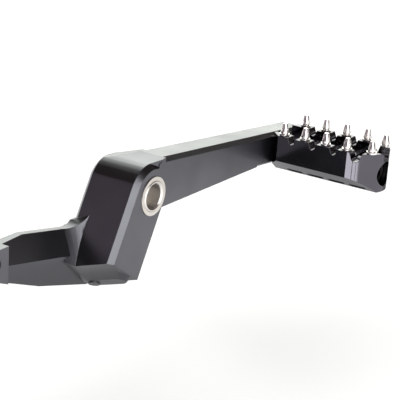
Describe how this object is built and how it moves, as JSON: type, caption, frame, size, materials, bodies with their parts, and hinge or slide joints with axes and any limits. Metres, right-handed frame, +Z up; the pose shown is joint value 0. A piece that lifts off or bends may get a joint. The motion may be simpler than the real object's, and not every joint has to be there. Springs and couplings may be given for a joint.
{
  "type": "rear brake pedal",
  "caption": "Machined rear brake pedal with a sleeved pivot boss, a leg and rod lug behind it, and a bolted rider's tip with toothed walls and screw-in spike pins.",
  "frame": {"origin": "on the pivot axis, halfway along the pivot boss", "axes": "+X forward along the arm towards the tip, +Z up, -Y outboard, the side that the tip stands on"},
  "size_m": [0.2397, 0.091, 0.0649],
  "materials": {
    "anodised_alloy": "satin black anodised",
    "tip_alloy": "gloss black anodised",
    "bare_steel": "turned stainless",
    "bush_bronze": "plated, turned",
    "dark_steel": "black zinc",
    "seal_rubber": "matt"
  },
  "bodies": {
    "pedal": {"pedal_arm": "anodised_alloy", "bush_outboard": "bush_bronze", "bush_inboard": "bush_bronze", "seal_outboard": "seal_rubber", "seal_inboard": "seal_rubber", "tip_body": "tip_alloy", "tip_bolt": "dark_steel", "lock_washer": "dark_steel", "dowel_rear": "bare_steel", "dowel_front": "bare_steel", "rear_pin_1": "bare_steel", "rear_pin_2": "bare_steel", "rear_pin_3": "bare_steel", "rear_pin_4": "bare_steel", "rear_pin_5": "bare_steel", "front_pin_1": "bare_steel", "front_pin_2": "bare_steel", "front_pin_3": "bare_steel", "front_pin_4": "bare_steel", "front_pin_5": "bare_steel"},
    "sleeve": {"pivot_sleeve": "bare_steel"}
  },
  "joints": [
    {"name": "pedal_pivot", "type": "hinge", "parent": "pedal", "child": "sleeve", "pos_m": [0, 0, 0], "axis": [0, 1, 0], "continuous": true}
  ]
}
